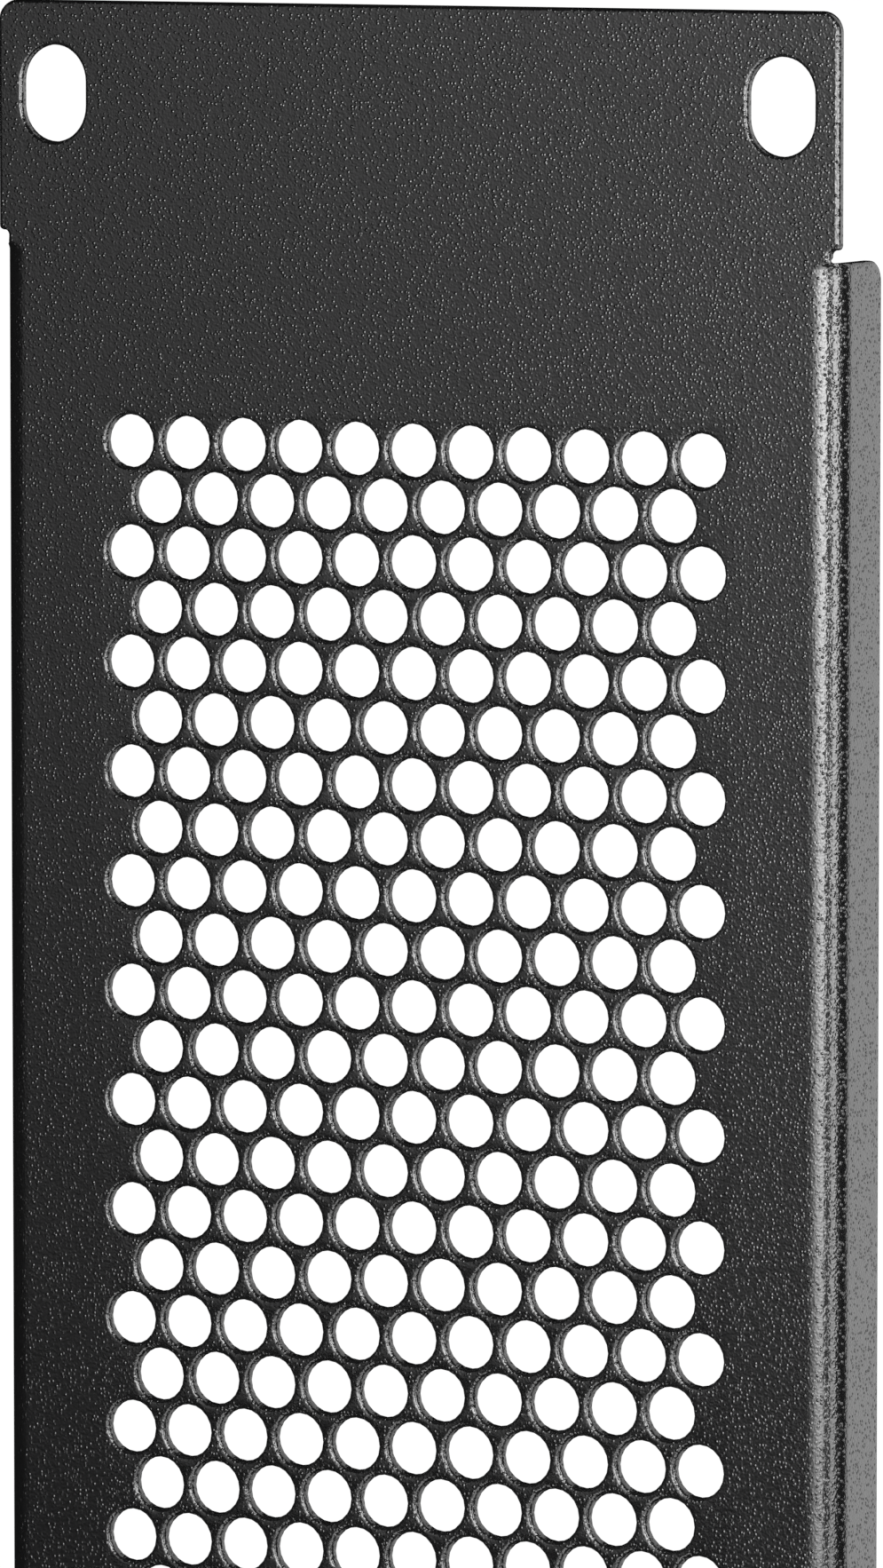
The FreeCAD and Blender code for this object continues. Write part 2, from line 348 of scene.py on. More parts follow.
@dataclass
class FoldedBlank:
    """The punched blank with its two folded flanges, all but the vents.

    The blank is first laid out flat. A point of it is (x, depth, height), where height runs along the
    unfolded sheet, and depth from the front face into the sheet.

    Attributes:
        length: Length of the panel over its ears.
        height: Height of the panel over its flanges.
        depth: How far the flanges reach back from the front face.
        slot_spacing_along: Middle to middle of the screw slots, along the panel.
        slot_spacing_across: Middle to middle of the screw slots, up the panel.
        slot_length: Length of a slot over its round ends.
        slot_width: Width of a slot.
        sheet: Thickness of the sheet.
        bend_radius: Outer radius of the bends.
        end_bend_radius: Outer radius at a bend's ends, beside the notches.
        bend_run_out: Length over which a bend's radius draws in.
        ear_length: Length of an ear, the flat end without flanges.
        ear_corner: Radius of an ear's outer corners.
        ear_inner_corner: Radius of an ear's corners at the notches.
        flange_corner: Radius of a flange's corners.
        relief_width: Width of a relief notch between ear and flange.
        relief_depth: How far a notch cuts in from the panel's long edge.
        relief_corner: Radius of the two corners at the bottom of a notch.
        window_length: Length of the rectangle that the vents are punched in.
        window_height: Height of that rectangle.
        corner_steps: Straight pieces in a corner of the outline.
        slot_steps: Straight pieces in a round end of a slot.
        bend_steps: Strips that make a bend round.
        run_out_steps: Strips over which a bend's radius draws in.
    """

    length: float
    height: float
    depth: float
    slot_spacing_along: float
    slot_spacing_across: float
    slot_length: float
    slot_width: float
    sheet: float = 1.0 * MM
    bend_radius: float = 2.9 * MM
    end_bend_radius: float = 1.0 * MM
    bend_run_out: float = 1.2 * MM
    ear_length: float = 21.7 * MM
    ear_corner: float = 2.0 * MM
    ear_inner_corner: float = 0.45 * MM
    flange_corner: float = 2.0 * MM
    relief_width: float = 1.2 * MM
    relief_depth: float = 1.0 * MM
    relief_corner: float = 0.5 * MM
    window_length: float = 409.0 * MM
    window_height: float = 69.0 * MM
    corner_steps: int = 8
    slot_steps: int = 20
    bend_steps: int = 12
    run_out_steps: int = 6

    @property
    def half_height(self) -> float:
        """Half of the panel's height over the flanges."""
        return self.height / 2

    @property
    def flange_end(self) -> float:
        """Distance from the middle to the end of a flange."""
        return self.length / 2 - self.ear_length - self.relief_width

    @property
    def notch_middle(self) -> float:
        """Distance from the middle of the panel to the middle of a relief notch."""
        return self.flange_end + self.relief_width / 2

    @property
    def bend_start(self) -> float:
        """Height at which the web stops being flat."""
        return self.half_height - self.bend_radius

    @property
    def bend_stop(self) -> float:
        """Unfolded height at which the flange becomes flat."""
        return self.bend_start + QUARTER_TURN * self.bend_radius

    @property
    def free_edge(self) -> float:
        """Unfolded height of a flange's free edge."""
        return self.bend_stop + self.depth - self.bend_radius

    @property
    def profile(self) -> RollProfile:
        """The section of the sheared edges."""
        return RollProfile(Edge.FRONT_ROLL.value, Edge.REAR_BREAK.value)

    def corners(self) -> list[Corner]:
        """Lists the outline's corners in one quarter of the blank, where x and height are above zero.

        Returns:
            The corners, from the ear inwards.
        """
        ear_end = self.length / 2
        ear_foot = ear_end - self.ear_length
        notch_floor = self.half_height - self.relief_depth
        return [
            Corner(ear_end, self.half_height, self.ear_corner, Facing.END, Turn.OUTER),
            Corner(ear_foot, self.half_height, self.ear_inner_corner, Facing.LONG_SIDE, Turn.OUTER),
            Corner(ear_foot, notch_floor, self.relief_corner, Facing.MIDDLE, Turn.HOLLOW),
            Corner(self.flange_end, notch_floor, self.relief_corner, Facing.LONG_SIDE, Turn.HOLLOW),
            Corner(self.flange_end, self.free_edge, self.flange_corner, Facing.END, Turn.OUTER),
        ]

    def outline(self, inset: float) -> list[Vector]:
        """Draws the blank's outline, moved into the sheet.

        Args:
            inset: How far the line stands back from the cut.

        Returns:
            The closed line's points as (x, height), all round the blank.
        """
        quarter = [point for corner in self.corners() for point in corner.arc(inset, self.corner_steps)]
        right_half = [Vector((point.x, -point.y)) for point in reversed(quarter)] + quarter
        return right_half + [Vector((-point.x, point.y)) for point in reversed(right_half)]

    def slots(self, inset: float) -> list[list[Vector]]:
        """Draws the four screw slots, moved into the sheet.

        Args:
            inset: How far a line stands back from the cut.

        Returns:
            Four closed lines of points as (x, height).
        """
        radius = self.slot_width / 2 + inset
        straight = (self.slot_length - self.slot_width) / 2
        ring = []
        for end in (1, -1):
            for step in range(self.slot_steps + 1):
                turn = math.pi * (step / self.slot_steps - 0.5)
                ring.append(end * Vector((straight + radius * math.cos(turn), radius * math.sin(turn))))
        centres = [
            Vector((x * self.slot_spacing_along / 2, up * self.slot_spacing_across / 2))
            for x in (-1, 1)
            for up in (-1, 1)
        ]
        return [[centre + point for point in ring] for centre in centres]

    def window(self) -> list[Vector]:
        """Returns the corners of the rectangle that the vents are punched in."""
        x, up = self.window_length / 2, self.window_height / 2
        return [Vector((-x, -up)), Vector((x, -up)), Vector((x, up)), Vector((-x, up))]

    def bend_radius_at(self, x: float) -> float:
        """Works out the outer bend radius, which draws in beside the notches.

        Args:
            x: Distance from the middle of the panel's length.

        Returns:
            The outer radius of the bend there.
        """
        share = (abs(x) - self.notch_middle) / self.bend_run_out + 1
        share = min(max(share, 0.0), 1.0)
        eased = share * share * (3 - 2 * share)
        return self.bend_radius + (self.end_bend_radius - self.bend_radius) * eased

    def fold(self, flat: Vector) -> Vector:
        """Moves a point of the flat blank to its place on the folded panel.

        Args:
            flat: The point as (x, depth, unfolded height), the heights of both flanges being beyond
                the bend's start.

        Returns:
            The point on the folded panel.
        """
        x, depth, run = flat
        front = CAD_LOW.y
        side = math.copysign(1.0, run)
        run = abs(run)
        flange = side * (self.half_height - depth)
        radius = self.bend_radius_at(x)
        if abs(x) > self.notch_middle or run <= self.half_height - radius:
            return Vector((x, front + depth, side * run))
        if run >= self.bend_stop:
            return Vector((x, front + self.bend_radius + run - self.bend_stop, flange))
        flat_end = self.half_height - radius
        arc = QUARTER_TURN * radius
        path = (run - flat_end) / (self.bend_stop - flat_end) * (arc + self.bend_radius - radius)
        if path >= arc:
            return Vector((x, front + radius + path - arc, flange))
        turn = path / radius
        inner = radius - depth
        up = flat_end + inner * math.sin(turn)
        return Vector((x, front + radius - inner * math.cos(turn), side * up))

    def lay_out(self, shape: bmesh.types.BMesh) -> None:
        """Makes the flat blank with its rolled edges, open where the vent field goes.

        Args:
            shape: The mesh to fill.
        """
        placed = [
            [
                [shape.verts.new((point.x, depth, point.y)) for point in line]
                for line in (self.outline(inset), *self.slots(inset))
            ]
            for inset, depth in self.profile.rings(self.sheet)
        ]
        for ring_lines, next_lines in zip(placed, placed[1:]):
            for line, next_line in zip(ring_lines, next_lines):
                for here in range(len(line)):
                    after = (here + 1) % len(line)
                    shape.faces.new((line[here], line[after], next_line[after], next_line[here]))
        for ring_lines, depth in ((placed[0], 0.0), (placed[-1], self.sheet)):
            window = [shape.verts.new((point.x, depth, point.y)) for point in self.window()]
            lines = [*ring_lines, window]
            verts = [vert for line in lines for vert in line]
            flat_lines = [[Vector((vert.co.x, vert.co.z, 0.0)) for vert in line] for line in lines]
            for triangle in tessellate_polygon(flat_lines):
                shape.faces.new([verts[index] for index in triangle])

    def add_stations(self, shape: bmesh.types.BMesh) -> None:
        """Cuts the flat blank across where it will bend, so that the bends come out round.

        Args:
            shape: The flat blank.
        """
        bend_lines = [
            self.bend_start + (self.bend_stop - self.bend_start) * step / self.bend_steps
            for step in range(self.bend_steps + 1)
        ]
        run_out_lines = [
            self.notch_middle - self.bend_run_out * step / self.run_out_steps
            for step in range(self.run_out_steps + 1)
        ]
        for axis, lines in (((0, 0, 1), bend_lines), ((1, 0, 0), run_out_lines)):
            for line in lines:
                for side in (-1, 1):
                    bmesh.ops.bisect_plane(
                        shape,
                        geom=[*shape.verts, *shape.edges, *shape.faces],
                        dist=WELD,
                        plane_co=Vector(axis) * line * side,
                        plane_no=axis,
                    )

    def build(self, coat: bpy.types.Material) -> bpy.types.Object:
        """Makes the folded blank as an object.

        Args:
            coat: The finish of the whole sheet.

        Returns:
            The object, with an open window in its web.
        """
        shape = bmesh.new()
        self.lay_out(shape)
        self.add_stations(shape)
        for vert in shape.verts:
            vert.co = self.fold(vert.co)
        mesh = bpy.data.meshes.new("folded_panel")
        shape.to_mesh(mesh)
        shape.free()
        mesh.materials.append(coat)
        panel = bpy.data.objects.new("folded_panel", mesh)
        bpy.context.scene.collection.objects.link(panel)
        log.info("folded blank: %d faces, flanges %.1f mm deep", len(mesh.polygons), self.depth / MM)
        return panel


@dataclass
class VentField:
    """The staggered field of round vents, punched by a Geometry Nodes tree.

    Attributes:
        blank: The blank that the vents are punched in.
        diameter: Diameter of a vent.
        pitch: Centre of a vent to the nearest centres.
        row_pairs: Pairs of a long and a short row.
        long_row: Vents in a long row.
        sides: Straight sides of a vent.
        roll_steps: Faces across the roll at a vent's front.
    """

    blank: FoldedBlank
    diameter: float = 5.0 * MM
    pitch: float = 6.0 * MM
    row_pairs: int = 39
    long_row: int = 11
    sides: int = 20
    roll_steps: int = 2

    def build_tree(self) -> bpy.types.NodeTree:
        """Builds the tree that fills the window with a sheet full of vents.

        Returns:
            The node tree, with named inputs for its sizes.
        """
        tree = bpy.data.node_groups.new("vent_field", "GeometryNodeTree")
        board = GroupBoard(tree, "GeometryNode")
        source = board.input("Geometry", "Geometry")
        radius = board.input("Vent Radius", "Float")
        roll = board.input("Edge Roll", "Float")
        pitch = board.input("Pitch", "Float")
        sheet = board.input("Sheet", "Float")
        front = board.input("Front Face", "Float")
        window = {
            "Width": board.input("Window Length", "Float"),
            "Height": board.input("Window Height", "Float"),
        }
        pairs = board.input("Row Pairs", "Int")
        long_row = board.input("Long Row", "Int")
        sides = board.input("Sides", "Int")
        coat = board.input("Coat", "Material")

        centres = self._centres(board, pitch, pairs, long_row)
        mouth = board.math("ADD", radius, roll)
        front_holes = {"Resolution": sides, "Radius": mouth}
        front_face = self._pierced(board, centres, front_holes, window)
        front_face = board.result(
            "Transform", {"Geometry": front_face, "Translation": board.vector(z=sheet)}
        )
        rear_holes = {"Resolution": sides, "Radius": radius}
        rear_face = self._pierced(board, centres, rear_holes, window)
        rear_face = board.result("FlipFaces", {"Mesh": rear_face})
        lining = self._lining(board, radius, roll, sheet, sides)
        linings = board.result("InstanceOnPoints", {"Points": centres, "Instance": lining})
        stood = board.result(
            "Transform",
            {
                "Geometry": board.join(front_face, rear_face, linings),
                "Rotation": (QUARTER_TURN, 0.0, 0.0),
                "Translation": board.vector(y=board.math("ADD", front, sheet)),
            },
        )
        whole = board.result("RealizeInstances", {"Geometry": board.join(source, stood)})
        coated = board.result("SetMaterial", {"Geometry": whole, "Material": coat})
        board.output("Geometry", "Geometry", coated)
        return tree

    def _centres(self, board: GroupBoard, pitch: Socket, pairs: Socket, long_row: Socket) -> Socket:
        """Places the vents' centres, in long and short rows by turns.

        Args:
            board: The tree being built.
            pitch: Centre to nearest centre.
            pairs: Pairs of rows.
            long_row: Vents in a long row.

        Returns:
            The points, in the sheet's own plane.
        """
        step = board.math("MULTIPLY", pitch, math.sin(TRIANGLE_CORNER))
        gaps = board.math("SUBTRACT", pairs, 1.0)
        rows_length = board.math("MULTIPLY", gaps, board.math("MULTIPLY", step, 2.0))
        grids = []
        for kind in RowKind:
            vents = board.math("SUBTRACT", long_row, float(kind.value))
            row_height = board.math("MULTIPLY", board.math("SUBTRACT", vents, 1.0), pitch)
            grid = board.result(
                "MeshGrid",
                {"Size X": rows_length, "Size Y": row_height, "Vertices X": pairs, "Vertices Y": vents},
            )
            # The long row of a pair stands half a step before the pair's middle, the short one after it.
            shift = board.vector(x=board.math("MULTIPLY", step, kind.value - 0.5))
            grids.append(board.result("Transform", {"Geometry": grid, "Translation": shift}))
        return board.result("MeshToPoints", {"Mesh": board.join(*grids)})

    def _pierced(
        self, board: GroupBoard, centres: Socket, hole: dict[str, Socket], window: dict[str, Socket]
    ) -> Socket:
        """Fills the window's rectangle, leaving a round hole at each centre.

        Args:
            board: The tree being built.
            centres: The vents' centres.
            hole: Resolution and radius of a hole in this face.
            window: Width and height of the window.

        Returns:
            The pierced face.
        """
        circle = board.result("CurvePrimitiveCircle", hole)
        circles = board.result("InstanceOnPoints", {"Points": centres, "Instance": circle})
        holes = board.result("RealizeInstances", {"Geometry": circles})
        border = board.result("CurvePrimitiveQuadrilateral", window)
        return board.result("FillCurve", {"Curve": board.join(holes, border)})

    def _lining(
        self, board: GroupBoard, radius: Socket, roll: Socket, sheet: Socket, sides: Socket
    ) -> Socket:
        """Shapes the inside of one vent: a straight wall with a rolled front corner.

        Args:
            board: The tree being built.
            radius: The vent's radius.
            roll: Radius of the rolled corner.
            sheet: Thickness of the sheet.
            sides: Straight sides of the vent.

        Returns:
            The lining as a mesh, standing on the rear face.
        """
        rings = self.roll_steps + 1
        tube = board.result(
            "MeshCylinder",
            {"Vertices": sides, "Side Segments": rings, "Radius": radius, "Depth": sheet},
            fill_type="NONE",
        )
        x, y, z = board.split(board.result("InputPosition"))
        share = board.math("ADD", board.math("DIVIDE", z, sheet), 0.5)
        level = board.math("MULTIPLY", share, float(rings))
        turn = board.ramp(level, 1.0, float(rings), 0.0, QUARTER_TURN)
        spread = board.math("MULTIPLY", roll, board.math("SUBTRACT", 1.0, board.math("COSINE", turn)))
        scale = board.math("DIVIDE", board.math("ADD", radius, spread), radius)
        drop = board.math("MULTIPLY", roll, board.math("SUBTRACT", 1.0, board.math("SINE", turn)))
        # The lowest ring stays on the rear face, and the others are lifted off it.
        above_rear = board.math("GREATER_THAN", level, 0.5)
        lift = board.math("MULTIPLY", board.math("SUBTRACT", sheet, drop), above_rear)
        place = board.vector(board.math("MULTIPLY", x, scale), board.math("MULTIPLY", y, scale), lift)
        shaped = board.result("SetPosition", {"Geometry": tube, "Position": place})
        return board.result("FlipFaces", {"Mesh": shaped})

    def punch(self, panel: bpy.types.Object, coat: bpy.types.Material) -> None:
        """Punches the vents into the panel's window and closes the sheet.

        Args:
            panel: The folded blank, changed in place.
            coat: The finish of the whole sheet.
        """
        modifier = panel.modifiers.new("vent_field", "NODES")
        modifier.node_group = self.build_tree()
        values = {
            "Vent Radius": self.diameter / 2,
            "Edge Roll": Edge.FRONT_ROLL.value,
            "Pitch": self.pitch,
            "Sheet": self.blank.sheet,
            "Window Length": self.blank.window_length,
            "Window Height": self.blank.window_height,
            "Front Face": CAD_LOW.y,
            "Row Pairs": self.row_pairs,
            "Long Row": self.long_row,
            "Sides": self.sides,
            "Coat": coat,
        }
        for socket in modifier.node_group.interface.items_tree:
            if socket.name in values:
                modifier[socket.identifier] = values[socket.name]
        bake(panel, modifier)
        vents = self.row_pairs * (2 * self.long_row - 1)
        faces = len(panel.data.polygons)
        log.info("vent field: %d vents of %.1f mm, %d faces", vents, self.diameter / MM, faces)


def bake(piece: bpy.types.Object, modifier: bpy.types.Modifier) -> None:
    """Turns a piece and its modifier into a plain mesh.

    Args:
        piece: The object, whose mesh is replaced.
        modifier: Its modifier, which is removed.
    """
    evaluated = piece.evaluated_get(bpy.context.evaluated_depsgraph_get())
    mesh = bpy.data.meshes.new_from_object(evaluated)
    for index in reversed(range(len(mesh.materials))):
        if mesh.materials[index] is None:
            mesh.materials.pop(index=index)
    piece.modifiers.remove(modifier)
    piece.data = mesh


def close_and_shade(piece: bpy.types.Object, crease: float) -> None:
    """Welds a piece's seams, points its faces outwards and smooths its rolled edges.

    Args:
        piece: The object, changed in place.
        crease: The least angle between two faces that stays sharp.
    """
    shape = bmesh.new()
    shape.from_mesh(piece.data)
    bmesh.ops.remove_doubles(shape, verts=shape.verts, dist=WELD)
    bmesh.ops.recalc_face_normals(shape, faces=shape.faces)
    if shape.calc_volume(signed=True) < 0:
        bmesh.ops.reverse_faces(shape, faces=shape.faces)
    open_edges = sum(1 for edge in shape.edges if not edge.is_manifold)
    volume = shape.calc_volume()
    shape.to_mesh(piece.data)
    shape.free()
    piece.data.shade_smooth()
    piece.data.set_sharp_from_angle(angle=crease)
    weighted = piece.modifiers.new("flat_faces_first", "WEIGHTED_NORMAL")
    weighted.keep_sharp = True
    bake(piece, weighted)
    log.info("%s: %.0f mm3 of steel, %d open edges", piece.name, volume / MM**3, open_edges)


@dataclass(frozen=True)
class PowderCoat:
    """A satin black polyester powder coat with a fine pebbled grain.

    Attributes:
        colour: The pigment's colour.
        roughness: Mean roughness of the skin.
        pebble: Width of one pebble of the grain.
        relief: Height of a pebble.
        pebble_reach: A pebble's radius, as a share of its cell.
        ripple_share: Height of the even ripple under the pebbles, as a share of theirs.
        least_pebble: Height of the lowest pebbles, as a share of the highest.
        refraction: How strongly the clear skin mirrors, as an index of refraction.
        tone_range: Darkest and lightest tone in the grain, as shares of the colour.
        ripple_scale: Ripples to a pebble's width.
        patch_scale: Matt patches to a pebble's width.
        patch_detail: Finer levels of detail in the matt patches.
        matt_range: Least and most that the matt patches add to the roughness.
    """

    colour: tuple[float, float, float, float] = (0.008, 0.008, 0.0082, 1.0)
    roughness: float = 0.16
    pebble: float = 0.38 * MM
    relief: float = 0.095 * MM
    pebble_reach: float = 0.46
    ripple_share: float = 0.32
    least_pebble: float = 0.1
    refraction: float = 2.0
    tone_range: tuple[float, float] = (0.8, 1.2)
    ripple_scale: float = 1.7
    patch_scale: float = 0.06
    patch_detail: float = 2.0
    matt_range: tuple[float, float] = (-0.03, 0.05)

    def grain_group(self) -> bpy.types.NodeTree:
        """Builds the grain as a node group.

        Returns:
            A group that puts out the skin's height, its tone and a mask of its matt patches.
        """
        tree = bpy.data.node_groups.new("powder_grain", "ShaderNodeTree")
        board = GroupBoard(tree, "ShaderNode")
        place = board.input("Place", "Vector")
        size = board.input("Pebble Size", "Float")
        pebbles_to_metre = board.math("DIVIDE", 1.0, size)
        grid = board.result(
            "VectorMath", {"Vector": place, "Scale": pebbles_to_metre}, operation="SCALE"
        )
        cells = board.node("TexVoronoi", {"Vector": grid, "Scale": 1.0}, feature="F1")
        across = board.math("DIVIDE", cells.outputs["Distance"], self.pebble_reach)
        cup = board.math("SUBTRACT", 1.0, board.math("MULTIPLY", across, across))
        cup = board.math("MAXIMUM", cup, 0.0)
        dome = board.math("MULTIPLY", cup, cup)
        chance, _, _ = board.split(cells.outputs["Color"])
        pebble_height = board.ramp(chance, 0.0, 1.0, self.least_pebble, 1.0)
        pebbles = board.math("MULTIPLY", dome, pebble_height)
        ripple = board.result(
            "TexNoise", {"Vector": grid, "Scale": self.ripple_scale, "Detail": 0.0}
        )
        patches = board.result(
            "TexNoise", {"Vector": grid, "Scale": self.patch_scale, "Detail": self.patch_detail}
        )
        height = board.math("ADD", pebbles, board.math("MULTIPLY", ripple, self.ripple_share))
        board.output("Height", "Float", height)
        board.output("Tone", "Float", ripple)
        board.output("Matt", "Float", patches)
        return tree

    def tinted(self, share: float) -> list[float]:
        """Returns the pigment's colour at a share of its brightness."""
        return [share * channel for channel in self.colour[:3]] + [1.0]

    def material(self) -> bpy.types.Material:
        """Makes the finish.

        Returns:
            The material.
        """
        coat = bpy.data.materials.new("powder_coat_black")
        coat.use_nodes = True
        board = NodeBoard(coat.node_tree, "ShaderNode")
        shader = coat.node_tree.nodes["Principled BSDF"]
        place = board.node("TexCoord").outputs["Object"]
        grain = board.node(
            "Group", {"Place": place, "Pebble Size": self.pebble}, node_tree=self.grain_group()
        )

        bump = board.result(
            "Bump", {"Strength": 1.0, "Distance": self.relief, "Height": grain.outputs["Height"]}
        )
        board.feed(shader.inputs["Normal"], bump)

        darkest, lightest = (self.tinted(share) for share in self.tone_range)
        tone = board.node("Mix", data_type="RGBA")
        board.feed(tone.inputs[MIX_FACTOR], grain.outputs["Tone"])
        board.feed(tone.inputs[MIX_FIRST], darkest)
        board.feed(tone.inputs[MIX_SECOND], lightest)
        board.feed(shader.inputs["Base Color"], tone.outputs[MIX_RESULT])

        smoothest, roughest = (self.roughness + change for change in self.matt_range)
        satin = board.ramp(grain.outputs["Matt"], 0.0, 1.0, smoothest, roughest)
        board.feed(shader.inputs["Roughness"], satin)
        shader.inputs["IOR"].default_value = self.refraction
        return coat


@dataclass(frozen=True)
class SoftBox:
    """A soft box that hangs round the panel's upper long edge.

    The panel's first end is the one where X is lowest, and its last end the other.

    Attributes:
        low: Degrees from straight ahead of the front face, up and over the top edge, to its lower side.
        high: Degrees to its upper side.
        first: X of its end on the side of the panel's first end.
        last: X of its end on the side of the panel's last end.
        distance: Distance from the panel's edge.
        brightness: Brightness against white paper.
        fade: Degrees over which it brightens from its lower side.
        ease: Power of that fade: the higher, the later it brightens.
        dim: Length along X over which it fades towards its last end.
    """

    low: float
    high: float
    first: float
    last: float
    distance: float
    brightness: float
    fade: float = 0.0
    ease: float = 1.0
    dim: float = 0.0


class Lamp(Enum):
    """The soft boxes of the studio.

    FILL and FRONT stand before the face, UPPER above the bend, SIDE before the panel's last end, and
    REAR behind the panel and above it.
    """

    FILL = SoftBox(
        low=-60.0, high=-12.0, first=-0.42, last=0.02, distance=0.45, brightness=0.62,
        fade=44.0, dim=0.28,
    )
    FRONT = SoftBox(
        low=-24.0, high=38.0, first=-0.34, last=0.03, distance=0.24, brightness=7.3,
        fade=43.0, ease=1.7, dim=0.25,
    )
    UPPER = SoftBox(
        low=57.6, high=85.0, first=-0.34, last=0.03, distance=0.24, brightness=5.5, dim=0.25
    )
    SIDE = SoftBox(low=-24.0, high=60.0, first=0.22, last=0.62, distance=0.60, brightness=1.6)
    REAR = SoftBox(low=140.0, high=170.0, first=-0.60, last=0.30, distance=1.40, brightness=0.5)


def standing(place: Vector, right: Vector, up: Vector, back: Vector) -> Matrix:
    """Puts together how a camera or a lamp stands.

    Args:
        place: Where it stands.
        right: Its own first axis.
        up: Its own second axis.
        back: Its own third axis, which points away from what it faces.

    Returns:
        The object's matrix.
    """
    return Matrix.Translation(place) @ Matrix((right, up, back)).transposed().to_4x4()


@dataclass
class Studio:
    """The pale floor, the plain soft light and the camera.

    Attributes:
        aim_x: X of the point of the front face's plane that the camera looks at.
        aim_z: Z of that point.
        distance: Distance from that point to the camera.
        swing: Degrees that the camera is swung from straight ahead, up and over the top edge.
        climb: Degrees that it is then moved towards the panel's first end.
        lens: Focal length of the camera, in millimetres.
        sensor: Width of the camera's sensor, in millimetres.
        clip: Nearest and furthest distance that the camera sees.
        height_above_floor: Height of the panel's lower edge above the floor.
        floor_radius: Radius of the floor.
        floor_sides: Sides of the floor.
        floor_glow: Light that the floor gives to the eye, 1 being white.
        floor_tone: Grey that the lamps light on the floor, on top of its glow.
        floor_return: Grey of the floor in reflections and in the light it throws back.
        ambient: Strength of the even light from all round, which isn't mirrored.
        wall: Brightness of the pale wall in reflections.
        wall_start: How far back a direction points where the wall begins, and where it is full.
        wall_top: How far up a direction points where the wall starts to end, and where it has ended.
    """

    aim_x: float = -169.15 * MM
    aim_z: float = 3.24 * MM
    distance: float = 1.0732
    swing: float = 27.81
    climb: float = 5.46
    lens: float = 265.3
    sensor: float = 36.0
    clip: tuple[float, float] = (0.01, 100.0)
    height_above_floor: float = 0.40
    floor_radius: float = 14.0
    floor_sides: int = 96
    floor_glow: float = 1.0
    floor_tone: float = 0.12
    floor_return: float = 0.05
    ambient: float = 0.08
    wall: float = 0.78
    wall_start: tuple[float, float] = (0.15, 0.40)
    wall_top: tuple[float, float] = (0.66, 0.74)

    def direction(self, swing: float, climb: float = 0.0) -> Vector:
        """Points from the panel towards a place round it.

        Args:
            swing: Degrees from straight ahead of the front face, up and over the top edge.
            climb: Degrees from that plane towards the panel's first end.

        Returns:
            The direction, of length one.
        """
        over, side = math.radians(swing), math.radians(climb)
        level = math.cos(side)
        return Vector((-math.sin(side), -math.cos(over) * level, math.sin(over) * level))

    def place_camera(self) -> None:
        """Sets up the camera, with the panel's first end at the top of the picture."""
        back = self.direction(self.swing, self.climb)
        right = Vector((-1.0, 0.0, 0.0)).cross(back).normalized()
        up = back.cross(right)
        data = bpy.data.cameras.new("camera")
        data.lens = self.lens
        data.sensor_width = self.sensor
        data.clip_start, data.clip_end = self.clip
        target = Vector((self.aim_x, CAD_LOW.y, self.aim_z))
        camera = bpy.data.objects.new("camera", data)
        camera.matrix_world = standing(target + back * self.distance, right, up, back)
        bpy.context.scene.collection.objects.link(camera)
        bpy.context.scene.camera = camera
        log.info("camera: %.2f m away, %.0f mm lens", self.distance, self.lens)

    def hang_lamp(self, lamp: Lamp) -> None:
        """Hangs one soft box, turned towards the panel's upper long edge.

        Args:
            lamp: Which one.
        """
        box = lamp.value
        data = bpy.data.lights.new(f"softbox_{lamp.name.lower()}", "AREA")
        data.shape = "RECTANGLE"
        data.size = box.last - box.first
        data.size_y = 2 * box.distance * math.tan(math.radians((box.high - box.low) / 2))
        # With this energy, a strength of 1 in the lamp's nodes is as bright as white paper.
        data.energy = math.pi * data.size * data.size_y
        self.shade_lamp(data, box)
        away = self.direction((box.low + box.high) / 2)
        along = Vector((1.0, 0.0, 0.0))
        edge = Vector(((box.last + box.first) / 2, CAD_LOW.y, CAD_HIGH.z))
        lamp_object = bpy.data.objects.new(data.name, data)
        lamp_object.matrix_world = standing(
            edge + away * box.distance, along, away.cross(along), away
        )
        bpy.context.scene.collection.objects.link(lamp_object)
        log.info("%s: %.2f by %.2f m", data.name, data.size, data.size_y)

    def shade_lamp(self, data: bpy.types.AreaLight, box: SoftBox) -> None:
        """Lets a soft box fade towards its lower side and its last end.

        Args:
            data: The lamp.
            box: How bright it is, and how it fades.
        """
        data.use_nodes = True
        data.node_tree.nodes.clear()
        board = NodeBoard(data.node_tree, "ShaderNode")
        along, over, _ = board.split(board.node("NewGeometry").outputs["Parametric"])
        strength: float | Socket = box.brightness
        if box.dim:
            fall = board.ramp(along, 1.0, 1.0 - box.dim / data.size)
            strength = board.math("MULTIPLY", strength, fall)
        if box.fade:
            rise = board.ramp(over, 0.0, box.fade / (box.high - box.low))
            strength = board.math("MULTIPLY", strength, board.math("POWER", rise, box.ease))
        emission = board.result("Emission", {"Strength": strength})
        board.node("OutputLight", {"Surface": emission}, is_active_output=True)

    def lay_floor(self, level: float) -> None:
        """Lays the pale floor, which the panel hangs above.

        Args:
            level: Height of the floor.
        """
        shape = bmesh.new()
        bmesh.ops.create_circle(
            shape, cap_ends=True, segments=self.floor_sides, radius=self.floor_radius
        )
        bmesh.ops.translate(shape, vec=(0.0, 0.0, level), verts=shape.verts)
        mesh = bpy.data.meshes.new("floor")
        shape.to_mesh(mesh)
        shape.free()
        mesh.materials.append(self.floor_material())
        floor = bpy.data.objects.new("floor", mesh)
        bpy.context.scene.collection.objects.link(floor)

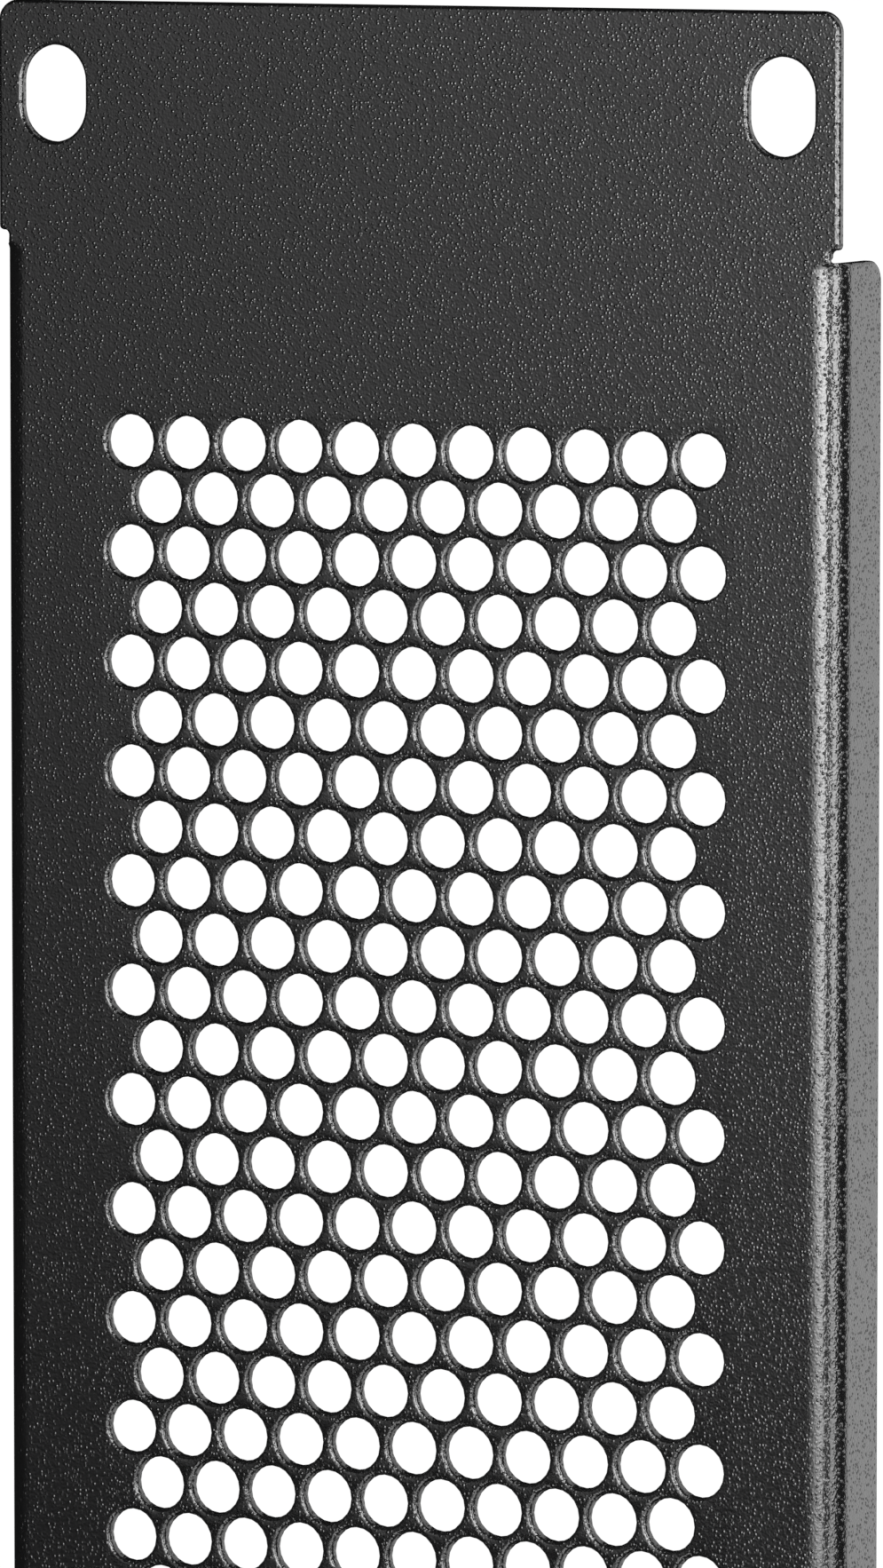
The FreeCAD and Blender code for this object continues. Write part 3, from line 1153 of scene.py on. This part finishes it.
    def floor_material(self) -> bpy.types.Material:
        """Makes the floor's finish, white to the eye and dark grey in reflections.

        Returns:
            The material.
        """
        pale = bpy.data.materials.new("pale_floor")
        pale.use_nodes = True
        pale.node_tree.nodes.clear()
        board = NodeBoard(pale.node_tree, "ShaderNode")
        glow = board.result("Emission", {"Strength": self.floor_glow})
        lit = board.result("BsdfDiffuse", {"Color": (*(self.floor_tone,) * 3, 1.0)})
        seen = board.in_order("ShaderNodeAddShader", glow, lit).outputs[0]
        mirrored = board.result("BsdfDiffuse", {"Color": (*(self.floor_return,) * 3, 1.0)})
        to_eye = board.node("LightPath").outputs["Is Camera Ray"]
        surface = board.in_order("ShaderNodeMixShader", to_eye, mirrored, seen).outputs[0]
        board.node("OutputMaterial", {"Surface": surface})
        return pale

    def light_world(self) -> None:
        """Sets the surroundings: white to the eye, and a pale wall low behind the panel in reflections."""
        world = bpy.data.worlds.new("surroundings")
        world.use_nodes = True
        bpy.context.scene.world = world
        world.node_tree.nodes.clear()
        board = NodeBoard(world.node_tree, "ShaderNode")
        _, back, up = board.split(board.node("TexCoord").outputs["Generated"])
        below_top = board.ramp(up, *self.wall_top, 1.0, 0.0)
        shape = board.math("MULTIPLY", board.ramp(back, *self.wall_start), below_top)
        path = board.node("LightPath").outputs
        wall = board.math("MULTIPLY", shape, self.wall)
        glossy = board.math("MULTIPLY", path["Is Glossy Ray"], wall)
        diffuse = board.math("MULTIPLY", path["Is Diffuse Ray"], self.ambient)
        eye = board.math("MAXIMUM", path["Is Camera Ray"], path["Is Transmission Ray"])
        strength = board.math("ADD", eye, board.math("ADD", glossy, diffuse))
        light = board.result("Background", {"Color": (1.0, 1.0, 1.0, 1.0), "Strength": strength})
        board.node("OutputWorld", {"Surface": light}, is_active_output=True)

    def build(self) -> None:
        """Sets up the whole studio."""
        scene = bpy.context.scene
        scene.view_settings.view_transform = "Standard"
        self.lay_floor(CAD_LOW.z - self.height_above_floor)
        self.light_world()
        for lamp in Lamp:
            self.hang_lamp(lamp)
        self.place_camera()


def rack_screws() -> dict[str, float]:
    """Returns the sizes, in millimetres, of the record's mount for the rack screws."""
    mounts = frame["record"]["mounts"]
    return next(mount["dims"] for mount in mounts if mount["name"] == SCREW_MOUNT)


def main() -> None:
    """Builds the panel and its studio."""
    logging.basicConfig(level=logging.INFO, format="%(name)s: %(message)s")
    screws = rack_screws()
    size = CAD_HIGH - CAD_LOW
    blank = FoldedBlank(
        length=size.x,
        height=size.z,
        depth=size.y,
        slot_spacing_along=screws["spacing_x_mm"] * MM,
        slot_spacing_across=screws["spacing_y_mm"] * MM,
        slot_length=screws["slot_length_mm"] * MM,
        slot_width=2 * screws["hole_r_mm"] * MM,
    )
    coat = PowderCoat().material()
    panel = blank.build(coat)
    VentField(blank).punch(panel, coat)
    close_and_shade(panel, CREASE)
    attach(panel, PANEL_BODY)
    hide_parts(PANEL_NODE)

    Studio().build()


if __name__ == "__main__":
    main()
